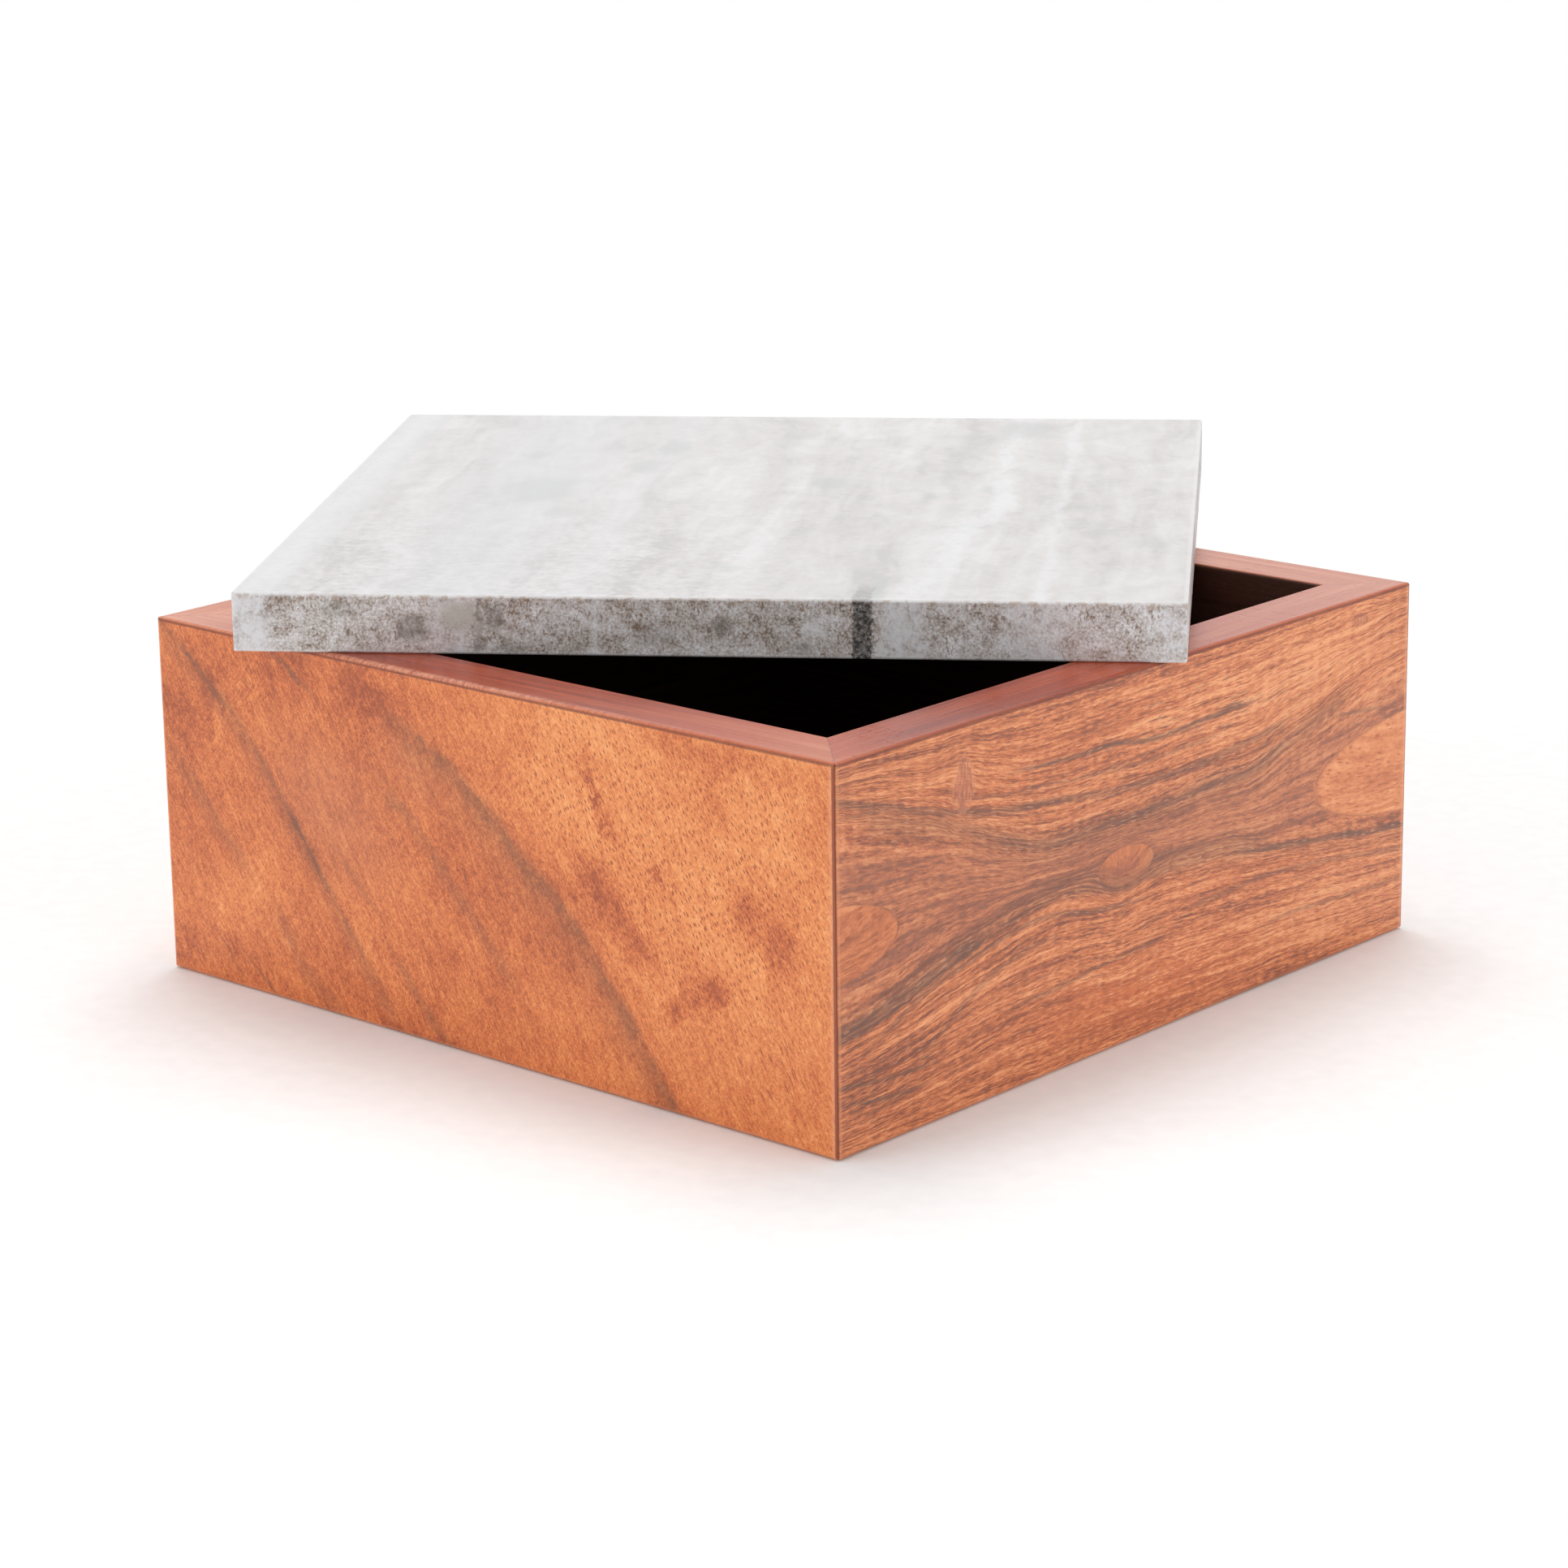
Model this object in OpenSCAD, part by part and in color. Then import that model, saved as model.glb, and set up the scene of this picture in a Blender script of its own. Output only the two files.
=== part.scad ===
// Square wooden spice box with mitred walls and a loose marble slab as its lid.
// Millimetres. The origin is at the middle of the box, on the table. The front board
// faces -Y and the right board faces +X. The lid lies turned on the rim.

/* [Box] */
// Outside length of each side of the square box
box_side = 152.4; // [120:0.1:240]
// Height of the wall boards, from the table to the rim
box_height = 62.5; // [50:0.1:120]
// Thickness of a wall board
wall_thickness = 11.2; // [9:0.1:16]

/* [Eased edges] */
// Rounding of the four upright corners of the box
corner_rounding = 0.8; // [0.5:0.1:3]
// Rounding along the outer edge of the rim
rim_outer_rounding = 0.7; // [0.2:0.1:2]
// Rounding along the inner edge of the rim
rim_inner_rounding = 0.5; // [0.2:0.1:2]
// Rounding along the outer edge that meets the table
foot_outer_rounding = 0.8; // [0.2:0.1:2.5]
// Rounding along the inner edge that meets the table
foot_inner_rounding = 0.6; // [0.2:0.1:2.5]
// Depth of the fine V line where two boards meet at an upright corner
mitre_line_depth = 0.2; // [0.05:0.05:0.4]

/* [Base panel] */
// Height of the panel groove over the table
groove_height = 3; // [2.5:0.1:10]
// Depth of the panel groove in the wall boards
groove_depth = 4; // [2:0.1:5]
// Thickness of the tongue round the base panel
tongue_thickness = 3.5; // [2:0.1:5]
// Rounding along the lower edge of the panel's field
field_rounding = 0.4; // [0.1:0.1:0.8]
// Free height of the tongue in its groove
groove_slack = 0.1; // [0.05:0.05:0.3]
// Room for the panel to swell, at the bottom of the groove
swell_room = 0.5; // [0.2:0.1:1]
// Gap on the underside between the field and the wall boards
field_gap = 0.3; // [0.1:0.1:1]

/* [Corner splines] */
// Thickness of a spline, along the mitre
spline_thickness = 2.4; // [1.5:0.1:2.8]
// Reach of a spline into each of its two boards, square to the mitre
spline_reach = 3.8; // [2:0.1:4]
// Solid wood left between the panel groove and the lower end of a kerf
kerf_over_groove = 4; // [2:0.1:8]
// Solid wood left between the rim and the upper end of a kerf
kerf_under_rim = 10; // [5:0.1:15]
// Gap between a spline and its kerf on each face
kerf_slack = 0.05; // [0.02:0.01:0.2]
// Gap between a spline and its kerf at each end
kerf_end_room = 0.3; // [0.1:0.1:0.4]

/* [Lid slab] */
// Overhang of the lid past each wall when it lies square on the box
lid_overhang = 1.85; // [0:0.05:5]
// Thickness of the marble slab
lid_thickness = 10; // [6:0.1:20]
// Rounding along the upper and lower edges of the slab
lid_edge_rounding = 0.5; // [0.2:0.1:2]
// Rounding of the four upright corners of the slab
lid_corner_rounding = 1; // [0.4:0.1:6]

/* [Lid as it lies] */
// Turn of the lid from square, anticlockwise seen from above, in degrees
lid_turn = 35.33; // [-45:0.01:45]
// Distance of the lid's middle to the right of the box's middle
lid_shift_x = -28.3; // [-35:0.1:35]
// Distance of the lid's middle behind the box's middle
lid_shift_y = 23.9; // [-35:0.1:35]

/* [Hidden] */
$fn = 64;

// How far a cutter reaches past the wood that it cuts
past = 1;

box_half = box_side / 2;
inner_half = box_half - wall_thickness;
groove_top = groove_height + tongue_thickness + groove_slack;
tongue_half = inner_half + groove_depth - swell_room;
field_half = inner_half - field_gap;
panel_thickness = groove_height + tongue_thickness;
kerf_low = groove_top + kerf_over_groove;
kerf_high = box_height - kerf_under_rim;
lid_side = box_side + 2 * lid_overhang;

FACE_WOOD = [0.80, 0.43, 0.25];
PANEL_WOOD = [0.55, 0.30, 0.19];
SPLINE_WOOD = [0.84, 0.70, 0.50];
MARBLE = [0.82, 0.81, 0.80];

// What a quarter round takes off a square corner that points to the origin
module corner_waste(radius) {
    difference() {
        translate([-past, -past]) square(radius + past);
        translate([radius, radius]) circle(radius);
    }
}

// Rectangle from the origin, with its own rounding at each corner:
// lower left, lower right, upper right, upper left
module eased_rectangle(width, height, roundings) {
    difference() {
        square([width, height]);
        corner_waste(roundings[0]);
        translate([width, 0]) mirror([1, 0]) corner_waste(roundings[1]);
        translate([width, height]) rotate(180) corner_waste(roundings[2]);
        translate([0, height]) mirror([0, 1]) corner_waste(roundings[3]);
    }
}

// Cross-section of a wall board: the outer face is at x = 0 and the table at y = 0
module board_section() {
    difference() {
        eased_rectangle(wall_thickness, box_height,
                        [foot_outer_rounding, foot_inner_rounding, rim_inner_rounding, rim_outer_rounding]);
        translate([wall_thickness - groove_depth, groove_height])
            square([groove_depth + past, groove_top - groove_height]);
    }
}

// Plan of the front board between its two mitres
module mitred_plan() {
    outer = box_half + past;
    inner = inner_half - past;
    polygon([[-outer, -outer], [outer, -outer], [inner, -inner], [-inner, -inner]]);
}

// Puts its children at the front right corner, or a number of quarter turns on from it
module at_corner(quarter) {
    rotate(90 * quarter) translate([box_half, -box_half, 0]) children();
}

// Wood taken off an upright corner: its rounding, and the fine V line along the mitre
module corner_cut() {
    apex = corner_rounding * (1 - sqrt(0.5));
    line_side = mitre_line_depth * sqrt(2);
    translate([0, 0, -past]) linear_extrude(box_height + 2 * past) {
        mirror([1, 0]) corner_waste(corner_rounding);
        translate([-apex, apex]) square(line_side, center = true);
    }
}

// A slot or its spline across a mitre: its thickness lies along the mitre
module across_mitre(thickness, reach, low, high) {
    translate([-wall_thickness / 2, wall_thickness / 2, low]) rotate(45)
        translate([-reach, -thickness / 2, 0]) cube([2 * reach, thickness, high - low]);
}

module kerf() {
    across_mitre(spline_thickness + 2 * kerf_slack, spline_reach + kerf_end_room, kerf_low, kerf_high);
}

// A wall board in the front board's place
module wall_board() {
    difference() {
        intersection() {
            translate([-box_half, -box_half, 0]) rotate([90, 0, 90])
                linear_extrude(box_side) board_section();
            translate([0, 0, -past]) linear_extrude(box_height + 2 * past) mitred_plan();
        }
        for (quarter = [-1, 0]) at_corner(quarter) {
            corner_cut();
            kerf();
        }
    }
}

module front_board() {
    color(FACE_WOOD) wall_board();
}

module right_board() {
    color(FACE_WOOD) rotate(90) wall_board();
}

module back_board() {
    color(FACE_WOOD) rotate(180) wall_board();
}

module left_board() {
    color(FACE_WOOD) rotate(270) wall_board();
}

// Cross-section of the base panel: the field is flush with the foot of the walls, and the
// tongue at its top lies on the lower face of the groove
module panel_section() {
    corners = [for (corner = [0:3]) field_rounding];
    translate([-tongue_half, groove_height]) square([2 * tongue_half, tongue_thickness]);
    translate([-field_half, 0]) eased_rectangle(2 * field_half, panel_thickness, corners);
}

// Square panel: the same section both ways
module base_panel() {
    color(PANEL_WOOD) intersection() {
        translate([-tongue_half, 0, 0]) rotate([90, 0, 90])
            linear_extrude(2 * tongue_half) panel_section();
        translate([0, tongue_half, 0]) rotate([90, 0, 0])
            linear_extrude(2 * tongue_half) panel_section();
    }
}

// Loose tongue in the mitre of one corner
module corner_spline(quarter) {
    color(SPLINE_WOOD) at_corner(quarter)
        across_mitre(spline_thickness, spline_reach, kerf_low, kerf_high - kerf_end_room);
}

module spline_front_right() {
    corner_spline(0);
}

module spline_back_right() {
    corner_spline(1);
}

module spline_back_left() {
    corner_spline(2);
}

module spline_front_left() {
    corner_spline(3);
}

// One side of the slab: its thickness with all four long edges eased, run along x
module slab_run() {
    edges = [for (edge = [0:3]) lid_edge_rounding];
    translate([-lid_side / 2, -lid_side / 2, 0]) rotate([90, 0, 90])
        linear_extrude(lid_side) eased_rectangle(lid_side, lid_thickness, edges);
}

// Square slab with eased edges and slightly rounded corners, lying turned on the rim
module marble_lid() {
    corners = [for (corner = [0:3]) lid_corner_rounding];
    color(MARBLE) translate([lid_shift_x, lid_shift_y, box_height]) rotate(lid_turn) intersection() {
        slab_run();
        rotate(90) slab_run();
        translate([-lid_side / 2, -lid_side / 2, 0])
            linear_extrude(lid_thickness) eased_rectangle(lid_side, lid_side, corners);
    }
}

front_board();
right_board();
back_board();
left_board();
base_panel();
spline_front_right();
spline_back_right();
spline_back_left();
spline_front_left();
marble_lid();
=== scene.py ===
import math

import bpy
from mathutils import Matrix, Vector


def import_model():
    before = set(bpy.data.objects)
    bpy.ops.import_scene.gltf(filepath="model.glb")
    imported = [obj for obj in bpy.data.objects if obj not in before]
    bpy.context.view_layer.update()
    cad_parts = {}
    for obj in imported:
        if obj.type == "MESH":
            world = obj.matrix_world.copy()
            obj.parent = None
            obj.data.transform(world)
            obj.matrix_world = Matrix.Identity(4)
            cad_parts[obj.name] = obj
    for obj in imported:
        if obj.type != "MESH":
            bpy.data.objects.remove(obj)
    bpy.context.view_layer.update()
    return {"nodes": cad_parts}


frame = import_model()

# Sizes in metres, as in part.scad
BOX_HALF = 0.0762
BOX_HEIGHT = 0.0625
LID_HALF = 0.07805
LID_TURN = math.radians(35.33)
LID_MIDDLE = Vector((-0.0283, 0.0239, BOX_HEIGHT))

# The same sizes in millimetres, for the materials
SIDE = 152.4
RIM = 62.5
WALL = 11.2
LID_SIDE = 156.1
LID_THICKNESS = 10.0

MILLIMETRE = 0.001
# Depth of the relief in a surface, in metres
BUMP_DEPTH = 0.0001
# Half depth of an ellipse that goes right through a board or the slab, in millimetres
THROUGH = 9999
# Lean of the pores in the streaked boards, in degrees
PORE_TURN = -60


class Graph:
    """The nodes of one material. Each call adds a node and gives back its output socket."""

    def __init__(self, name):
        self.material = bpy.data.materials.new(name)
        self.material.use_nodes = True
        self.tree = self.material.node_tree
        self.tree.nodes.clear()

    def add(self, kind, inputs, output=0, **settings):
        node = self.tree.nodes.new("ShaderNode" + kind)
        for key, value in settings.items():
            setattr(node, key, value)
        for key, value in inputs.items():
            if isinstance(value, bpy.types.NodeSocket):
                self.tree.links.new(value, node.inputs[key])
            else:
                node.inputs[key].default_value = value
        return node.outputs[output]

    def math(self, operation, *values, clamp=False):
        return self.add("Math", dict(enumerate(values)), operation=operation, use_clamp=clamp)

    def total(self, *values):
        result = values[0]
        for value in values[1:]:
            result = self.math("ADD", result, value)
        return result

    def product(self, *values):
        result = values[0]
        for value in values[1:]:
            result = self.math("MULTIPLY", result, value)
        return result

    def highest(self, *values):
        result = values[0]
        for value in values[1:]:
            result = self.math("MAXIMUM", result, value)
        return result

    def step(self, value, start, end, low=0.0, high=1.0):
        """Goes smoothly from low to high while the value goes from start to end."""
        return self.add("MapRange", {0: value, 1: start, 2: end, 3: low, 4: high},
                        interpolation_type="SMOOTHSTEP")

    def line(self, value, start, end, low=0.0, high=1.0, clamp=True):
        return self.add("MapRange", {0: value, 1: start, 2: end, 3: low, 4: high}, clamp=clamp)

    def gap(self, one, other):
        """How far two values lie apart."""
        return self.math("ABSOLUTE", self.math("SUBTRACT", one, other))

    def rest(self, share):
        """What a share leaves of 1."""
        return self.total(1.0, self.product(share, -1.0))

    def paint(self, share, under, over):
        """One colour over another."""
        under, over = (colour if isinstance(colour, bpy.types.NodeSocket) else (*colour, 1.0)
                       for colour in (under, over))
        return self.add("Mix", {0: share, 6: under, 7: over}, output=2, data_type="RGBA")

    def ramp(self, value, stops):
        """A colour that goes through the stops, each a value and a colour."""
        node = self.tree.nodes.new("ShaderNodeValToRGB")
        self.tree.links.new(value, node.inputs[0])
        bar = node.color_ramp
        bar.elements[0].position, bar.elements[1].position = stops[0][0], stops[-1][0]
        bar.elements[0].color, bar.elements[1].color = (*stops[0][1], 1), (*stops[-1][1], 1)
        for place, colour in stops[1:-1]:
            bar.elements.new(place).color = (*colour, 1)
        return node.outputs[0]

    def curve(self, value, points, across=(0.0, 160.0), up=(-30.0, 90.0)):
        """A smooth line through the points."""
        node = self.tree.nodes.new("ShaderNodeFloatCurve")
        self.tree.links.new(self.line(value, *across), node.inputs["Value"])
        line = node.mapping.curves[0]
        places = [((x - across[0]) / (across[1] - across[0]), (y - up[0]) / (up[1] - up[0]))
                  for x, y in points]
        line.points[0].location, line.points[1].location = places[0], places[-1]
        for place in places[1:-1]:
            line.points.new(*place)
        node.mapping.update()
        return self.line(node.outputs[0], 0.0, 1.0, *up, clamp=False)

    def place(self, vector, origin=(0, 0, 0), turn=(0, 0, 0), size=(1, 1, 1)):
        """The vector as seen from a frame with that origin, turn in degrees and unit lengths."""
        angles = [math.radians(angle) for angle in turn]
        return self.add("Mapping", {0: vector, 1: origin, 2: angles, 3: size},
                        vector_type="TEXTURE")

    def parts(self, vector):
        """The three coordinates of a vector."""
        node = self.tree.nodes.new("ShaderNodeSeparateXYZ")
        self.tree.links.new(vector, node.inputs[0])
        return tuple(node.outputs)

    def noise(self, vector, size=(1, 1, 1), detail=2.0, roughness=0.5, distortion=0.0, shift=0.0):
        """Noise with features of that size along each axis, about 0.5 in the middle."""
        placed = self.place(vector, origin=(shift, shift * 0.7, shift * 1.3), size=size)
        return self.add("TexNoise", {"Vector": placed, "Scale": 1.0, "Detail": detail,
                                     "Roughness": roughness, "Distortion": distortion})

    def blob(self, vector, u, z, ru, rz, turn=0.0, weight=1.0, start=1.0, end=0.0):
        """The weight inside an ellipse and 0 outside it, the same right through the board.

        It goes from 0 at start to the weight at end, both as shares of the ellipse.
        """
        reach = max(start, end)
        near = self.nearness(vector, (u, 0, z), (0, -turn, 0), (ru * reach, THROUGH, rz * reach))
        return self.step(near, 1 - start / reach, 1 - end / reach, 0.0, weight)

    def nearness(self, vector, origin, turn, size):
        """1 at the origin of an ellipsoid of that size, and 0 from its surface outwards."""
        placed = self.place(vector, origin, turn, size)
        return self.add("TexGradient", {0: placed}, output=1, gradient_type="SPHERICAL")

    def ticks(self, along, across, size, share, radius, turn=0.0, shift=0.0):
        """Short pores in a plane, of that spacing along and across them: 1 in a pore."""
        plane = self.add("CombineXYZ", {0: along, 1: across})
        placed = self.place(plane, (shift, shift, 0), (0, 0, turn), (*size, 1))
        node = self.tree.nodes.new("ShaderNodeTexVoronoi")
        node.voronoi_dimensions = "2D"
        node.inputs["Scale"].default_value = 1.0
        self.tree.links.new(placed, node.inputs["Vector"])
        chosen = self.add("SeparateColor", {0: node.outputs["Color"]})
        kept = self.step(chosen, share, share * 0.3)
        return self.product(self.step(node.outputs["Distance"], radius, radius * 0.4), kept)

    def finish(self, colour, roughness, height):
        normal = self.add("Bump", {"Strength": 1.0, "Distance": BUMP_DEPTH, "Height": height})
        self.add_output(self.add("BsdfPrincipled", {"Base Color": colour, "Roughness": roughness,
                                                    "Normal": normal}))
        return self.material

    def add_output(self, surface):
        node = self.tree.nodes.new("ShaderNodeOutputMaterial")
        self.tree.links.new(surface, node.inputs["Surface"])


# Colours, as linear values. The stops of a ramp are (value, colour).
PORE = (0.24, 0.028, 0.008)
RIM_RAMP = [(0.28, (0.22, 0.022, 0.005)), (0.48, (0.41, 0.062, 0.014)),
            (0.70, (0.50, 0.130, 0.052)), (0.88, (0.68, 0.25, 0.135))]
# Worn outer arris of the rim, painted light as a highlight on its rounding
WEAR_AND_HIGHLIGHT = (0.68, 0.28, 0.17)
ARRIS = (0.17, 0.035, 0.018)
# Joint line of the upright corners, deepened with painted shade
SEAM_AND_SHADE = (0.22, 0.052, 0.032)
# Painted highlight on the rounding of the upright corners
CORNER_HIGHLIGHT = (0.80, 0.34, 0.18)
# Painted highlight along the lower arris of the boards
LOWER_ARRIS_HIGHLIGHT = (0.70, 0.25, 0.10)
# Painted shade of the inside: deep low down, paler near the rim and along the grain
INSIDE_SHADE_DEEP = (0.020, 0.007, 0.004)
INSIDE_SHADE_PALE = (0.105, 0.032, 0.018)
STREAKED_RAMP = [(0.25, (0.31, 0.068, 0.024)), (0.40, (0.48, 0.115, 0.036)),
                 (0.50, (0.60, 0.162, 0.048)), (0.60, (0.69, 0.212, 0.066)),
                 (0.72, (0.78, 0.28, 0.090)), (0.86, (0.86, 0.37, 0.14))]
STREAKED_DULL = (0.50, 0.20, 0.11)
STREAKED_DARK = (0.20, 0.080, 0.042)
FLOWING_RAMP = [(0.20, (0.22, 0.068, 0.036)), (0.35, (0.37, 0.108, 0.046)),
                (0.50, (0.54, 0.163, 0.062)), (0.62, (0.66, 0.222, 0.086)),
                (0.75, (0.75, 0.290, 0.122)), (0.90, (0.83, 0.36, 0.165))]
FLOWING_WARM = (0.60, 0.150, 0.046)
FLOWING_DULL = (0.38, 0.155, 0.095)
FLOWING_DARK = (0.14, 0.068, 0.048)
FLECK = (0.90, 0.42, 0.22)
KNOT_RING = (0.66, 0.24, 0.11)
KNOT_HALO = (0.26, 0.095, 0.055)
KNOT_HEART = (0.34, 0.100, 0.055)
SCAR_RAMP = [(0.40, (0.34, 0.105, 0.055)), (0.60, (0.60, 0.22, 0.12))]
SCAR_EDGE = (0.70, 0.31, 0.16)
# The base panel, painted dark as shade like the inside of the box
PANEL_IN_PAINTED_SHADE = ((0.06, 0.026, 0.016), (0.03, 0.013, 0.008))
SPLINE_WOOD = ((0.70, 0.52, 0.32), (0.58, 0.40, 0.23))
MARBLE_RAMP = [(0.34, (0.47, 0.448, 0.446)), (0.44, (0.545, 0.518, 0.516)),
               (0.54, (0.602, 0.574, 0.574)), (0.66, (0.66, 0.64, 0.646))]
MARBLE_COOL = (0.575, 0.588, 0.592)
MARBLE_GREY = (0.44, 0.458, 0.452)
MARBLE_WHITE = (0.69, 0.695, 0.70)
SAWN_RAMP = [(0.24, (0.14, 0.115, 0.095)), (0.38, (0.33, 0.280, 0.250)),
             (0.50, (0.46, 0.420, 0.395)), (0.62, (0.55, 0.53, 0.53)), (0.80, (0.70, 0.70, 0.72))]
SAWN_BROWN = (0.19, 0.115, 0.070)
SAWN_PALE = (0.64, 0.635, 0.655)
SAWN_GREEN = (0.40, 0.385, 0.34)
SAWN_DIM = (0.15, 0.135, 0.115)
# Ground arris line of the slab, partly painted highlight
GROUND_LINE_AND_HIGHLIGHT = (0.70, 0.69, 0.69)
BROWN_SPOT = (0.38, 0.26, 0.18)
BLACK_VEIN = (0.012, 0.012, 0.012)
FLOOR_RAMP = [(0.3, (0.90, 0.90, 0.90)), (0.7, (0.93, 0.93, 0.93))]
WHITE = (1, 1, 1, 1)

# The figure of each board, in millimetres: u from its left end, z from the table.
# A line is (points, reach below it, reach over it, strength, start, end, widening), without the
# widening where the grain flows: there it follows "upper", "lower" or points of its own.
# Soft ellipses are (u, z, half length, half height, turn, weight): a mark is light over 0 and
# dark under it, and the other lists say where and how much there is of something.
# An eye is (u, z, half length, half height, lightness, rings), a knot is (u, z, half length,
# half height, pull on the grain), a heart is (u, z, scale, strength of its ring) and a scar
# is (u, z). The lighter field past the main streak sets in along u as "field" says.
# Along the rim, as (u, value): its tone, which holds painted sheen where it rises towards the ends
# and painted shade where it dips beside the lid, the height in millimetres of the red band under
# its arris, the wear of the arris with its painted highlight, and its roughness as "matt".
FRONT_MAIN = [(30, 68), (54, 56), (64, 51), (74, 45), (80, 41), (87, 35), (95, 29), (100, 24),
              (104.5, 18.5), (110, 12.3), (114.5, 6.3), (118.3, 0.5), (131, -20)]
FRONT_THIN = [(0, 62.5), (10, 55), (17, 49.5), (23, 44), (30, 35.5), (35, 29.5), (40, 22.5),
              (47, 13.5), (58, 0), (70, -16)]
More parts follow.
